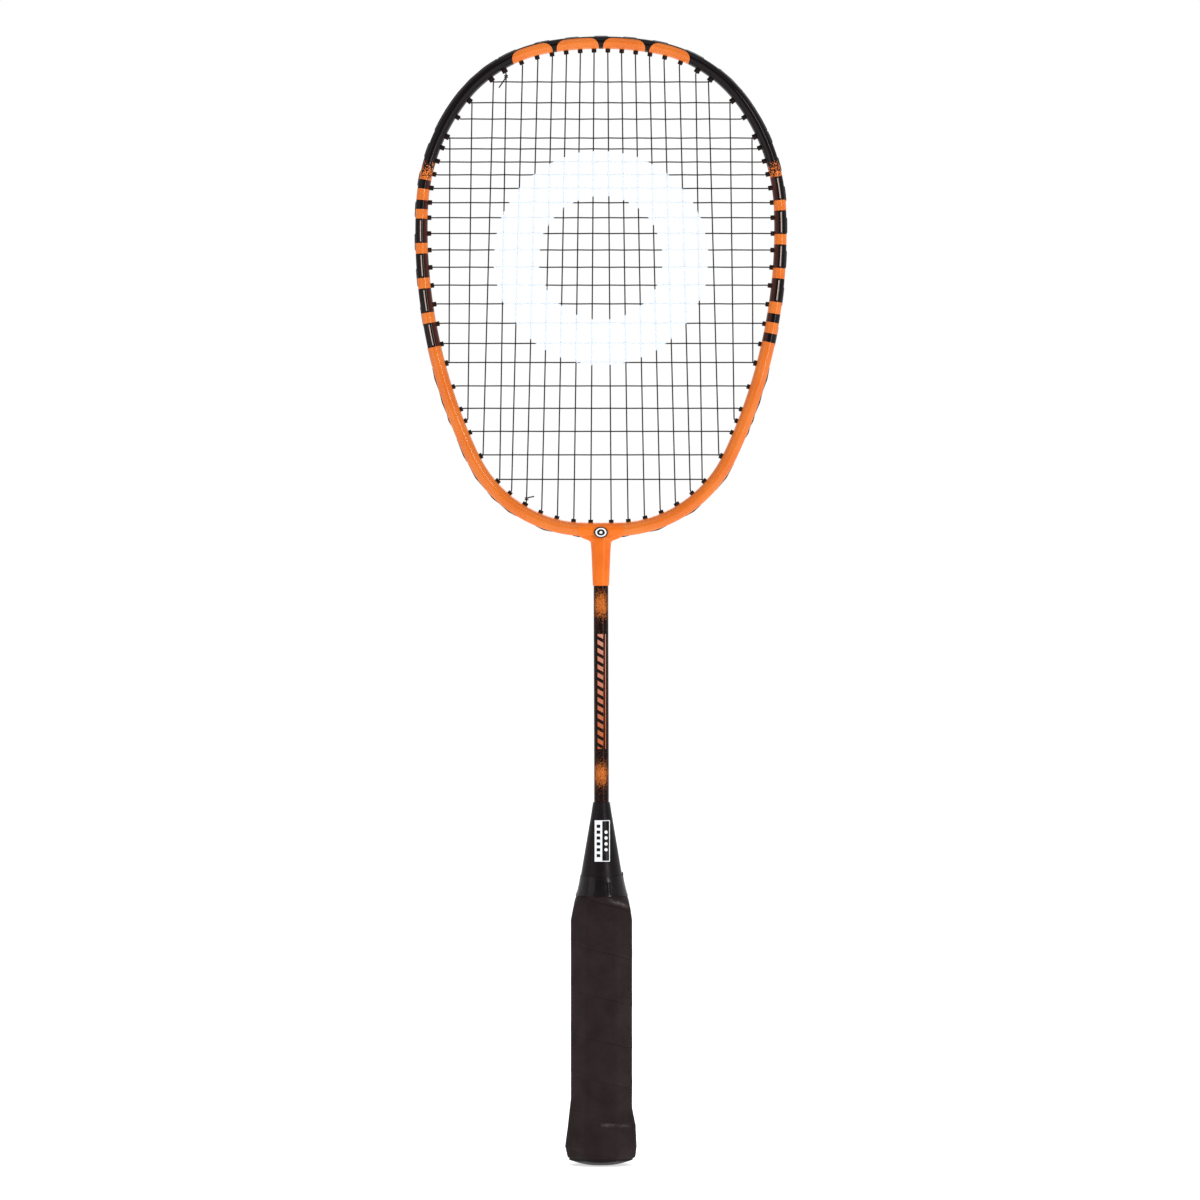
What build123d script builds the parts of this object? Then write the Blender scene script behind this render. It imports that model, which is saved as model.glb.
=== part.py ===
from build123d import *

import math
import os

os.makedirs("parts", exist_ok=True)

# A short speed-badminton racket, all sizes in millimetres.
# The long axis is +Z with the butt end at z = 0. The string bed lies in the XZ plane and the
# front of the racket looks towards -Y.

# ---------------------------------------------------------------- driving dimensions
crown_height = 596.7        # of the hoop's centreline

hoop_thickness = 7.2        # of the tube's ellipse, along the string plane
hoop_depth = 9.4            # of the tube's ellipse, along Y
hoop_wall = 0.9
channel_width = 4.0         # the string groove around the outside of the hoop
channel_depth = 1.2

# Tangent arcs of the hoop's centreline on the right half, from the crown down to the throat:
# (radius, angle turned in degrees). The corner arc's radius is worked out so that the two
# halves meet on the centreline of the racket.
crown_arc = (167.0, 10.0)
shoulder_arc = (73.2, 42.5)
side_arc = (102.0, 34.9)
taper_arc = (281.0, 27.9)
bottom_arc = (900.0, 0.5)

string_diameter = 0.7
mains_per_side = 10
cross_count = 23
main_pitch = 7.3            # at the middle of the bed
main_spread = 0.00153       # widens the pitch towards the sides
main_lean = 0.026           # how far a main leans outward, per mm of height
main_top_height = 590.0
first_cross_height = 576.55
least_cross_gap = 6.82      # between two crosses
closest_gap = 6             # which gap is the least, counted from the top
weave_height = 0.87         # of a cross's bends over and under the mains

grommet_protrusion = 1.8    # of the barrel, inside the hoop
grommet_diameter = 2.6
grommet_bore = 1.15
grommet_flange = 3.7
wide_grommet_diameter = 3.1
wide_grommet_bore = 1.85
wide_grommet_flange = 3.9
flange_thickness = 0.4
hole_clearance = 0.05       # around a grommet's barrel

joint_half_width = 12.0     # of the T joint's bridge, between the ends of the hoop
joint_channel_end = 4.5     # how near the middle the string groove runs
spigot_length = 16.0
spigot_clearance = 0.1
collar_bottom = 307.6

shaft_diameter = 7.8
shaft_bore = 5.4
shaft_top = 328.0
shaft_bottom = 70.0
shaft_clearance = 0.05

cone_top = 192.7
cone_bottom = 134.0
cone_top_diameter = 8.5
cone_wall = 1.6
cone_roof = 172.0           # top of the space inside the cone
neck_clearance = 0.15

handle_width = 28.3         # of the wooden core, seen from the front
handle_depth = 26.2
bevel_share = 0.26          # of the width, for the eight-sided section
butt_flare = 5.5            # how much wider the butt cap is than the handle
butt_flare_height = 10.0
butt_floor = 6.0            # the end of the wood, inside the cap
butt_top = 34.0
butt_wall = 1.5
butt_dome_radius = 48.0
butt_dome_drop = 0.6        # of the dome's lowest point, cut off by the flat end

grip_thickness = 1.95
grip_bottom = 4.0
grip_taper_bottom = 130.0
grip_top = 146.5
grip_top_width = 25.6
tape_thickness = 0.45
tape_top = 156.2

label_width = 8.1
label_bottom = 161.3
label_top = 183.1
label_offset = 0.7          # of the label's middle, to the right
label_thickness = 0.12

badge_width = 7.4
badge_height = 5.9
badge_middle = 336.0
badge_back = 4.85           # in front of the string plane, just clear of the hoop's tube
badge_front = 5.85

tack_shank_diameter = 1.1
tack_head_diameter = 4.0
tack_head_thickness = 0.5
tack_length = 7.0
tack_height = 12.0
pin_diameter = 1.8
pin_height = 115.0
pin_length = 23.0
pin_clearance = 0.03        # around the pin and the tacks
grip_rounding = 2.6         # of the grip's eight corners
grip_end_rounding = 1.6


def sin(degrees):
    return math.sin(math.radians(degrees))


def cos(degrees):
    return math.cos(math.radians(degrees))


# ---------------------------------------------------------------- the hoop's centreline
def closing_radius():
    """Radius of the corner arc that brings the centreline to x = 0 at the bottom."""
    x = 0.0
    heading = 0.0
    for radius, angle in (crown_arc, shoulder_arc, side_arc, taper_arc):
        x += radius * (sin(heading + angle) - sin(heading))
        heading += angle
    last_heading = 180.0 - bottom_arc[1]
    return (bottom_arc[0] * sin(last_heading) - x) / (sin(last_heading) - sin(heading))


angle_before_corner = crown_arc[1] + shoulder_arc[1] + side_arc[1] + taper_arc[1]
corner_arc = (closing_radius(), 180.0 - bottom_arc[1] - angle_before_corner)
hoop_arcs = (crown_arc, shoulder_arc, side_arc, taper_arc, corner_arc, bottom_arc)


def hoop_point(heading, outward=0.0, y=0.0):
    """A point beside the hoop's centreline, where its outward normal is `heading` degrees from
    straight up: positive headings are on the right half, negative ones on the left."""
    size = abs(heading)
    x = 0.0
    z = crown_height
    start = 0.0
    for radius, angle in hoop_arcs:
        end = min(size, start + angle)
        x += radius * (sin(end) - sin(start))
        z += radius * (cos(end) - cos(start))
        start += angle
        if size <= start:
            break
    return Vector(math.copysign(x, heading) + outward * sin(heading), y, z + outward * cos(heading))


def solve(gap, low, high):
    """The heading between low and high where gap(heading) changes sign."""
    rising = gap(high) > 0
    for _ in range(40):
        middle = (low + high) / 2
        if (gap(middle) > 0) == rising:
            high = middle
        else:
            low = middle
    return (low + high) / 2


def hoop_plane(heading):
    """Sketch plane across the tube: local X points outward, local Z along the tube."""
    return Plane(
        origin=hoop_point(heading),
        x_dir=(sin(heading), 0, cos(heading)),
        z_dir=(cos(heading), 0, -sin(heading)),
    )


def hole_plane(heading, outward):
    """Sketch plane across a string hole, looking outward."""
    return Plane(
        origin=hoop_point(heading, outward),
        x_dir=(0, 1, 0),
        z_dir=(sin(heading), 0, cos(heading)),
    )


# ---------------------------------------------------------------- where the strings run
half_thickness = hoop_thickness / 2
channel_floor = half_thickness - channel_depth
grommet_mouth = -(half_thickness + grommet_protrusion)
turn_in = grommet_mouth - 0.4       # where a string turns into its grommet
lane = channel_floor + flange_thickness + string_diameter / 2 + 0.07
shared_y = 0.38                     # the main lies in front by this much, the cross behind
passing_y = 1.25                    # the same, beside another string's hole
loop_bow = 0.5                      # how far a loop on the lower half stands off between two holes
bow_heading = 105.0                 # only past this heading
corner_reach = 0.9                  # how far from a corner a string starts to bend
widest_heading = 90.0


def main_x(k, z):
    """x of main k, counted from the middle of the racket, at height z."""
    u = k - 0.5
    top_x = main_pitch * u + main_spread * u ** 4
    return top_x + main_lean * sin(180.0 * k / 11) * (main_top_height - z)


def cross_z(j):
    """Height of cross j, counted from the top."""
    z = first_cross_height
    for gap in range(1, j):
        past = gap - closest_gap
        z -= least_cross_gap + (0.171 * past ** 2 if past <= 0 else 0.39 * past)
    return z


def main_heading(k, at_top):
    def gap(heading):
        point = hoop_point(heading, turn_in)
        return point.X - main_x(k, point.Z)

    return solve(gap, 0.5, widest_heading) if at_top else solve(gap, widest_heading, 179.99)


def cross_heading(j):
    return solve(lambda heading: hoop_point(heading, turn_in).Z - cross_z(j), 1.0, 179.0)


top_heading = {k: main_heading(k, True) for k in range(1, mains_per_side + 1)}
bottom_heading = {k: main_heading(k, False) for k in range(1, mains_per_side + 1)}
side_heading = {j: cross_heading(j) for j in range(1, cross_count + 1)}

# A main and a cross that reach the hoop at nearly the same place share one wide hole, which lies
# this share of the way from the cross's own place towards the main's.
top_pull = 0.3
bottom_pull = 0.1
top_shared = ((8, 1), (9, 2), (10, 4))
bottom_shared = ((10, 18), (8, 22), (7, 23))
for headings, pairs, pull in (
    (top_heading, top_shared, top_pull),
    (bottom_heading, bottom_shared, bottom_pull),
):
    for k, j in pairs:
        headings[k] = side_heading[j] + pull * (headings[k] - side_heading[j])
        side_heading[j] = headings[k]
# Main 9 comes down between crosses 20 and 21.
bottom_heading[9] = (side_heading[20] + side_heading[21]) / 2

# The string's two ends are tied off at these mains, in holes that are wide as well.
knot_main_top = 7
knot_main_bottom = 5

shared_headings = [side_heading[j] for k, j in top_shared + bottom_shared]
tie_off_headings = [top_heading[knot_main_top], bottom_heading[knot_main_bottom]]
crown_headings = [top_heading[k] for k in range(1, knot_main_top)]
throat_headings = [bottom_heading[k] for k in (1, 2, 3, 4, 6)]
upper_side_headings = [side_heading[j] for j in (3, *range(5, 18))]
lower_side_headings = [side_heading[19], side_heading[20], bottom_heading[9], side_heading[21]]
wide_headings = shared_headings + tie_off_headings
single_headings = crown_headings + throat_headings + upper_side_headings + lower_side_headings


def hole_y(heading, is_main):
    """How far off the middle of its hole a string lies."""
    if abs(heading) not in wide_headings:
        return 0.0
    return -shared_y if is_main else shared_y


def inward(heading, y):
    """The two corners of a string that enters the head through a hole."""
    return [hoop_point(heading, lane, y), hoop_point(heading, turn_in, y)]


def outward(heading, y):
    return inward(heading, y)[::-1]


def along_channel(start, end, start_y, end_y, passing):
    """Corners of a string along the channel, beside each hole that it passes."""
    low = min(start, end)
    high = max(start, end)
    holes = [sign * heading for heading in single_headings + wide_headings for sign in (1, -1)]
    passed = sorted(heading for heading in holes if low < heading < high)
    if start > end:
        passed.reverse()
    stops = [(start, start_y)] + [(heading, passing) for heading in passed] + [(end, end_y)]
    points = []
    for (a, y_a), (b, y_b) in zip(stops, stops[1:]):
        middle = (a + b) / 2
        bow = loop_bow if abs(middle) > bow_heading else 0.0
        points.append(hoop_point(middle, lane + bow, (y_a + y_b) / 2))
        points.append(hoop_point(b, lane, y_b))
    return points[:-1]


def corner_radii(points):
    """A fillet radius for each corner of a route, so that every bend starts corner_reach before
    its corner, or as near to that as its two runs allow."""
    radii = []
    for before, corner, after in zip(points, points[1:], points[2:]):
        into = corner - before
        out_of = after - corner
        half_turn = math.radians(into.get_angle(out_of)) / 2
        reach = min(corner_reach, 0.45 * into.length, 0.45 * out_of.length)
        radii.append(reach / math.tan(half_turn))
    return radii


mains = [*range(-mains_per_side, 0), *range(1, mains_per_side + 1)]


def main_end_heading(main, at_top):
    headings = top_heading if at_top else bottom_heading
    return math.copysign(headings[abs(main)], main)


def main_corner(main, at_top):
    heading = main_end_heading(main, at_top)
    return hoop_point(heading, turn_in, hole_y(heading, True))


def main_route():
    """From the upper knot up and down the mains, left to right, to the last main's top."""
    knot = -top_heading[knot_main_top]
    heading = main_end_heading(mains[0], True)
    points = outward(knot, shared_y)
    points += along_channel(knot, heading, shared_y, hole_y(heading, True), -passing_y)
    points += inward(heading, hole_y(heading, True))
    at_top = False
    for main, following in zip(mains, mains[1:]):
        heading = main_end_heading(main, at_top)
        next_heading = main_end_heading(following, at_top)
        y = hole_y(heading, True)
        next_y = hole_y(next_heading, True)
        points += outward(heading, y)
        points += along_channel(heading, next_heading, y, next_y, -passing_y)
        points += inward(next_heading, next_y)
        at_top = not at_top
    last = main_end_heading(mains[-1], True)
    points += outward(last, hole_y(last, True))
    return points


def weave(j, start_side):
    """Corners of cross j over and under the mains that it meets."""
    end = hoop_point(side_heading[j], turn_in)
    points = []
    for place, main in enumerate(mains):
        top = main_corner(main, True)
        bottom = main_corner(main, False)
        if not bottom.Z + string_diameter < end.Z < top.Z - string_diameter:
            continue
        crossing = top + (bottom - top) * ((top.Z - end.Z) / (top.Z - bottom.Z))
        if abs(crossing.X) > end.X - string_diameter:
            continue
        over = 1 if (place + j) % 2 else -1
        points.append(Vector(crossing.X, crossing.Y + over * weave_height, end.Z))
    return points[::-start_side]


def cross_route():
    """On from the last main's top, along the channel and across the bed from top to bottom."""
    start = main_end_heading(mains[-1], True)
    heading = side_heading[1]
    y = hole_y(heading, False)
    points = [hoop_point(start, lane, hole_y(start, True))]
    points += along_channel(start, heading, hole_y(start, True), y, passing_y)
    points += inward(heading, y)
    side = 1
    for j in range(1, cross_count + 1):
        points += weave(j, side)
        side = -side
        heading = side * side_heading[j]
        last_j = j == cross_count
        next_heading = -bottom_heading[knot_main_bottom] if last_j else side * side_heading[j + 1]
        y = hole_y(heading, False)
        next_y = hole_y(next_heading, False)
        points += outward(heading, y)
        points += along_channel(heading, next_heading, y, next_y, passing_y)
        points += inward(next_heading, next_y)
    return points


main_points = main_route()
cross_points = cross_route()
# The two runs of the string meet in the middle of their first stretch in the channel.
meeting_point = (cross_points[0] + cross_points[1]) / 2
main_points.append(meeting_point)
cross_points[0] = meeting_point

# ---------------------------------------------------------------- head hoop
joint_heading = solve(lambda heading: joint_half_width - hoop_point(heading).X, widest_heading, 179.9)
spigot_end = joint_half_width + spigot_length
spigot_heading = solve(lambda heading: spigot_end - hoop_point(heading).X, widest_heading, 179.9)
groove_heading = solve(lambda heading: joint_channel_end - hoop_point(heading).X, widest_heading, 179.9)
bore_x = half_thickness - hoop_wall
bore_y = hoop_depth / 2 - hoop_wall
bore_limit = channel_floor - hoop_wall      # the bore stays clear of the channel's floor


def centreline(first_heading, last_heading):
    """Tangent arcs along the hoop between two headings on the right half."""
    limits = [first_heading]
    heading = 0.0
    for radius, angle in hoop_arcs:
        heading += angle
        if first_heading < heading < last_heading:
            limits.append(heading)
    limits.append(last_heading)
    for start, end in zip(limits, limits[1:]):
        ThreePointArc(hoop_point(start), hoop_point((start + end) / 2), hoop_point(end))


def bore_profile(shrink):
    """The tube's inside, an ellipse cut off flat behind the channel."""
    Ellipse(bore_x - shrink, bore_y - shrink)
    with Locations((bore_limit - shrink, 0)):
        Rectangle(hoop_thickness, hoop_depth, align=(Align.MIN, Align.CENTER), mode=Mode.SUBTRACT)


def drill(headings, diameter):
    """Cut string holes right through the tube."""
    for heading in headings:
        with BuildSketch(hole_plane(heading, -hoop_thickness)) as hole:
            Circle(diameter / 2)
        extrude(hole.sketch, amount=2 * hoop_thickness, mode=Mode.SUBTRACT)


with BuildPart() as head_hoop:
    with BuildLine() as hoop_path:
        centreline(0.0, joint_heading)
    with BuildSketch(hoop_plane(0.0)) as hoop_section:
        Ellipse(half_thickness, hoop_depth / 2)
        with Locations((channel_floor, 0)):
            Rectangle(hoop_thickness, channel_width, align=(Align.MIN, Align.CENTER), mode=Mode.SUBTRACT)
    sweep(hoop_section.sketch, path=hoop_path.wire())
    with BuildSketch(hoop_plane(0.0)) as hoop_bore:
        bore_profile(0.0)
    sweep(hoop_bore.sketch, path=hoop_path.wire(), mode=Mode.SUBTRACT)
    drill(single_headings, grommet_diameter + 2 * hole_clearance)
    drill(wide_headings, wide_grommet_diameter + 2 * hole_clearance)
    mirror(about=Plane.YZ)
head_hoop.part.label = "head_hoop"
export_step(head_hoop.part, "parts/head_hoop.step")

# ---------------------------------------------------------------- T joint
# (height, radius) of the round stem, from the collar up to the bridge's centreline.
stem_radii = ((collar_bottom, 4.75), (319.0, 4.85), (325.7, 5.25), (330.0, 5.5), (337.4, 4.9))
flare_radius = 6.4          # of the webs between the stem and the bridge
flare_half_depth = 3.3


def stem_outline(grow):
    """Half outline of the stem, out from the axis by `grow` more than its radius."""
    sides = [(radius + grow, height) for height, radius in stem_radii]
    Polyline((0, stem_radii[-1][0]), (0, collar_bottom), *sides, close=True)


with BuildPart() as t_joint:
    with BuildSketch(Plane.XZ):
        with BuildLine():
            stem_outline(0.0)
        make_face()
    revolve(axis=Axis.Z)
    with BuildSketch(Plane.XZ.offset(-flare_half_depth)):
        with BuildLine():
            web_bottom = joint_half_width - flare_radius
            bridge_bottom = stem_radii[-1][0] - 2.8
            Polyline(
                (joint_half_width, bridge_bottom),
                (joint_half_width, stem_radii[-1][0]),
                (0, stem_radii[-1][0]),
                (0, bridge_bottom - flare_radius),
                (web_bottom, bridge_bottom - flare_radius),
            )
            RadiusArc(
                (web_bottom, bridge_bottom - flare_radius),
                (joint_half_width, bridge_bottom),
                flare_radius,
            )
        make_face()
    extrude(amount=2 * flare_half_depth)
    with BuildSketch(Plane.XY.offset(collar_bottom)):
        Circle(shaft_diameter / 2 + shaft_clearance)
    extrude(amount=shaft_top - collar_bottom, mode=Mode.SUBTRACT)
    split(bisect_by=Plane.YZ, keep=Keep.TOP)
    with BuildLine() as bridge_path:
        centreline(joint_heading, 180.0)
    with BuildSketch(hoop_plane(joint_heading)) as bridge_section:
        Ellipse(half_thickness, hoop_depth / 2)
    sweep(bridge_section.sketch, path=bridge_path.wire())
    with BuildLine() as spigot_path:
        centreline(spigot_heading, joint_heading)
    with BuildSketch(hoop_plane(spigot_heading)) as spigot_section:
        bore_profile(spigot_clearance)
    sweep(spigot_section.sketch, path=spigot_path.wire())
    with BuildLine() as groove_path:
        centreline(joint_heading, groove_heading)
    with BuildSketch(hoop_plane(joint_heading)) as groove_section:
        with Locations((channel_floor, 0)):
            Rectangle(1.8, channel_width, align=(Align.MIN, Align.CENTER))
    sweep(groove_section.sketch, path=groove_path.wire(), mode=Mode.SUBTRACT)
    drill([bottom_heading[k] for k in (1, 2, 3)], grommet_diameter + 2 * hole_clearance)
    mirror(about=Plane.YZ)
t_joint.part.label = "t_joint"
export_step(t_joint.part, "parts/t_joint.step")

with BuildPart() as t_joint_badge:
    with BuildSketch(Plane.XZ.offset(badge_back)):
        with Locations((0, badge_middle)):
            Ellipse(badge_width / 2, badge_height / 2)
    extrude(amount=badge_front - badge_back)
    fillet(t_joint_badge.faces().sort_by(Axis.Y)[0].edges(), 0.25)
    with BuildSketch(Plane.XZ):
        with BuildLine():
            stem_outline(0.02)
        make_face()
    revolve(axis=Axis.Z, mode=Mode.SUBTRACT)
t_joint_badge.part.label = "t_joint_badge"
export_step(t_joint_badge.part, "parts/t_joint_badge.step")


# ---------------------------------------------------------------- grommets
def grommet_outline(diameter, bore, flange):
    """Half section of a grommet, its axis along Z and its inner mouth at z = 0."""
    barrel = channel_floor - grommet_mouth
    rounding = 0.3
    Polyline(
        (diameter / 2 - rounding, 0),
        (bore / 2, 0),
        (bore / 2, barrel + flange_thickness),
        (flange / 2, barrel + flange_thickness),
        (flange / 2, barrel),
        (diameter / 2, barrel),
        (diameter / 2, rounding),
    )
    RadiusArc((diameter / 2, rounding), (diameter / 2 - rounding, 0), rounding)


def grommet_places(headings, sides=(1, -1)):
    return [hole_plane(side * heading, grommet_mouth).location for side in sides for heading in headings]


with BuildPart() as single_grommet:
    with BuildSketch(Plane.XZ):
        with BuildLine():
            grommet_outline(grommet_diameter, grommet_bore, grommet_flange)
        make_face()
    revolve(axis=Axis.Z)

with BuildPart() as wide_grommet:
    with BuildSketch(Plane.XZ):
        with BuildLine():
            grommet_outline(wide_grommet_diameter, wide_grommet_bore, wide_grommet_flange)
        make_face()
    revolve(axis=Axis.Z)

grommet_groups = {
    "crown_grommets": (single_grommet, crown_headings, (1, -1)),
    "throat_grommets": (single_grommet, throat_headings, (1, -1)),
    "right_side_grommets": (single_grommet, upper_side_headings, (1,)),
    "left_side_grommets": (single_grommet, upper_side_headings, (-1,)),
    "lower_side_grommets": (single_grommet, lower_side_headings, (1, -1)),
    "right_shared_grommets": (wide_grommet, shared_headings, (1,)),
    "left_shared_grommets": (wide_grommet, shared_headings, (-1,)),
    "tie_off_grommets": (wide_grommet, tie_off_headings, (1, -1)),
}
for name, (pattern, headings, sides) in grommet_groups.items():
    with BuildPart() as grommets:
        with Locations(*grommet_places(headings, sides)):
            add(pattern.part)
    grommets.part.label = name
    export_step(grommets.part, f"parts/{name}.step")


# ---------------------------------------------------------------- strings
def string_plane(points):
    """Sketch plane across the first point of a route."""
    return Plane(origin=points[0], z_dir=points[1] - points[0])


with BuildPart() as main_strings:
    with BuildLine() as main_path:
        FilletPolyline(*main_points, radius=corner_radii(main_points))
    with BuildSketch(string_plane(main_points)) as main_section:
        Circle(string_diameter / 2)
    sweep(main_section.sketch, path=main_path.wire())
main_strings.part.label = "main_strings"
export_step(main_strings.part, "parts/main_strings.step")
section_area = math.pi * string_diameter ** 2 / 4
print("mains:", round(main_path.wire().length), "mm", round(main_strings.part.volume / section_area))

with BuildPart() as cross_strings:
    with BuildLine() as cross_path:
        FilletPolyline(*cross_points, radius=corner_radii(cross_points))
    with BuildSketch(string_plane(cross_points)) as cross_section:
        Circle(string_diameter / 2)
    sweep(cross_section.sketch, path=cross_path.wire())
cross_strings.part.label = "cross_strings"
export_step(cross_strings.part, "parts/cross_strings.step")
print("crosses:", round(cross_path.wire().length), "mm", round(cross_strings.part.volume / section_area))


def tie_off_knot(main, at_top, tail_direction, tail_length):
    """Two turns of string around a main beside its grommet, and the cut-off tail."""
    mouth_corner = main_corner(main, at_top)
    along = (main_corner(main, not at_top) - mouth_corner).normalized()
    turn_radius = string_diameter + 0.04
    for turn in (1, 2):
        turn_middle = mouth_corner + along * (1.25 * turn * string_diameter + 0.3)
        with Locations(Plane(origin=turn_middle, z_dir=along)):
            Torus(turn_radius, string_diameter / 2)
    tail_start = turn_middle + tail_direction.normalized() * turn_radius
    with BuildSketch(Plane(origin=tail_start, z_dir=tail_direction)) as tail_section:
        Circle(string_diameter / 2)
    extrude(tail_section.sketch, amount=tail_length)


with BuildPart() as upper_knot:
    tie_off_knot(-knot_main_top, True, Vector(-0.55, -0.35, -0.85), 6.5)
upper_knot.part.label = "upper_knot"
export_step(upper_knot.part, "parts/upper_knot.step")

with BuildPart() as lower_knot:
    tie_off_knot(-knot_main_bottom, False, Vector(0.97, 0, 0.2), 3.4)
lower_knot.part.label = "lower_knot"
export_step(lower_knot.part, "parts/lower_knot.step")

# ---------------------------------------------------------------- shaft
with BuildPart() as shaft:
    with BuildSketch(Plane.XY.offset(shaft_bottom)):
        Circle(shaft_diameter / 2)
        Circle(shaft_bore / 2, mode=Mode.SUBTRACT)
    extrude(amount=shaft_top - shaft_bottom)
    with BuildSketch(Plane.XZ.offset(-shaft_diameter)):
        with Locations((0, pin_height)):
            Circle(pin_diameter / 2 + pin_clearance)
    extrude(amount=2 * shaft_diameter, mode=Mode.SUBTRACT)
shaft.part.label = "shaft"
export_step(shaft.part, "parts/shaft.step")


# ---------------------------------------------------------------- handle
def cone_section(height, grow):
    """The cone cap's outline at a height, `grow` wider all round."""
    share = (cone_top - height) / (cone_top - cone_bottom)
    top = cone_top_diameter / 2
    # The cone's lower end is as wide and as deep as the handle; its top is all but round.
    half_width = top + share * (handle_width / 2 - top)
    half_depth = top + share * (handle_depth / 2 - top) - 0.01
    Ellipse(half_width + grow, half_depth + grow)


def flare(height):
    """How much wider than the handle the butt cap is at a height."""
    turn = 180.0 * min(1.0, (butt_top - height) / (butt_top - butt_flare_height))
    return butt_flare * (1 - cos(turn)) / 2


def handle_face(height, grow, rounding=0.0):
    """The eight-sided section of the handle, `grow` wider and deeper."""
    width = handle_width + grow
    right = width / 2
    back = (handle_depth + grow) / 2
    bevel = bevel_share * width
    quarter = [(right, back - bevel), (right - bevel, back)]
    half = quarter + [(-x, y) for x, y in reversed(quarter)]
    with BuildSketch(Plane.XY.offset(height)) as section:
        Polygon(*half, *[(-x, -y) for x, y in half], align=None)
        if rounding:
            fillet(section.vertices(), rounding)
    return section.sketch


# Tacks through the cap into the wood, on the right, the left and the back. The seat of each
# head is a plane across it, set just inside the cap's outer face.
head_inset = tack_head_thickness + 0.25
tack_x = (handle_width + flare(tack_height)) / 2 - head_inset
tack_y = (handle_depth + flare(tack_height)) / 2 - head_inset
tack_planes = (
    Plane(origin=(tack_x, 0, tack_height), z_dir=(1, 0, 0)),
    Plane(origin=(-tack_x, 0, tack_height), z_dir=(-1, 0, 0)),
    Plane(origin=(0, tack_y, tack_height), z_dir=(0, 1, 0)),
)

flare_steps = 4
flare_step = (butt_top - butt_flare_height) / flare_steps
flare_heights = [butt_flare_height + step * flare_step for step in range(flare_steps + 1)]


def flared_end(bottom, grow, rounding, mode=Mode.ADD):
    """The flared end of the handle, from `bottom` to the top of the flare."""
    extrude(handle_face(bottom, butt_flare + grow, rounding), amount=butt_flare_height - bottom, mode=mode)
    loft([handle_face(height, flare(height) + grow, rounding) for height in flare_heights], mode=mode)


with BuildPart() as handle_core:
    extrude(handle_face(butt_floor, -2 * butt_wall - 2 * neck_clearance), amount=butt_top - butt_floor)
    extrude(handle_face(butt_top, 0.0), amount=cone_bottom - butt_top)
    with BuildSketch(Plane.XY.offset(cone_bottom)):
        cone_section(cone_bottom, -cone_wall - neck_clearance)
    with BuildSketch(Plane.XY.offset(cone_roof - 1)):
        cone_section(cone_roof - 1, -cone_wall - neck_clearance)
    loft()
    with BuildSketch(Plane.XY.offset(shaft_bottom)):
        Circle(shaft_diameter / 2 + shaft_clearance)
    extrude(amount=cone_top - shaft_bottom, mode=Mode.SUBTRACT)
    with BuildSketch(Plane.XZ.offset(handle_depth)):
        with Locations((0, pin_height)):
            Circle(pin_diameter / 2 + pin_clearance)
    extrude(amount=-handle_depth / 2 - pin_length, mode=Mode.SUBTRACT)
    for tack_plane in tack_planes:
        with BuildSketch(tack_plane) as tack_hole:
            Circle(tack_shank_diameter / 2 + pin_clearance)
        extrude(tack_hole.sketch, amount=-tack_length - pin_clearance, mode=Mode.SUBTRACT)
handle_core.part.label = "handle_core"
export_step(handle_core.part, "parts/handle_core.step")

# A nail through the wood and the shaft, from the front, keeps the shaft from turning.
with BuildPart() as shaft_pin:
    with BuildSketch(Plane.XZ.offset(handle_depth / 2)):
        with Locations((0, pin_height)):
            Circle(pin_diameter / 2)
    extrude(amount=-pin_length)
shaft_pin.part.label = "shaft_pin"
export_step(shaft_pin.part, "parts/shaft_pin.step")

with BuildPart() as cone_cap:
    with BuildSketch(Plane.XY.offset(cone_bottom)):
        cone_section(cone_bottom, 0.0)
    with BuildSketch(Plane.XY.offset(cone_top)):
        cone_section(cone_top, 0.0)
    loft()
    with BuildSketch(Plane.XY.offset(cone_bottom)):
        cone_section(cone_bottom, -cone_wall)
    with BuildSketch(Plane.XY.offset(cone_roof)):
        cone_section(cone_roof, -cone_wall)
    loft(mode=Mode.SUBTRACT)
    with BuildSketch(Plane.XY.offset(cone_bottom)):
        Circle(shaft_diameter / 2 + shaft_clearance)
    extrude(amount=cone_top - cone_bottom, mode=Mode.SUBTRACT)
cone_cap.part.label = "cone_cap"
export_step(cone_cap.part, "parts/cone_cap.step")

with BuildPart() as cone_label:
    with BuildSketch(Plane.XY.offset(label_bottom)):
        cone_section(label_bottom, label_thickness)
    with BuildSketch(Plane.XY.offset(label_top)):
        cone_section(label_top, label_thickness)
    loft()
    with BuildSketch(Plane.XY.offset(label_bottom)):
        cone_section(label_bottom, 0.0)
    with BuildSketch(Plane.XY.offset(label_top)):
        cone_section(label_top, 0.0)
    loft(mode=Mode.SUBTRACT)
    with BuildSketch(Plane.XY.offset(label_bottom)):
        with Locations((label_offset, 0)):
            Rectangle(label_width, handle_depth, align=(Align.CENTER, Align.MAX))
    extrude(amount=label_top - label_bottom, mode=Mode.INTERSECT)
cone_label.part.label = "cone_label"
export_step(cone_label.part, "parts/cone_label.step")

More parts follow.
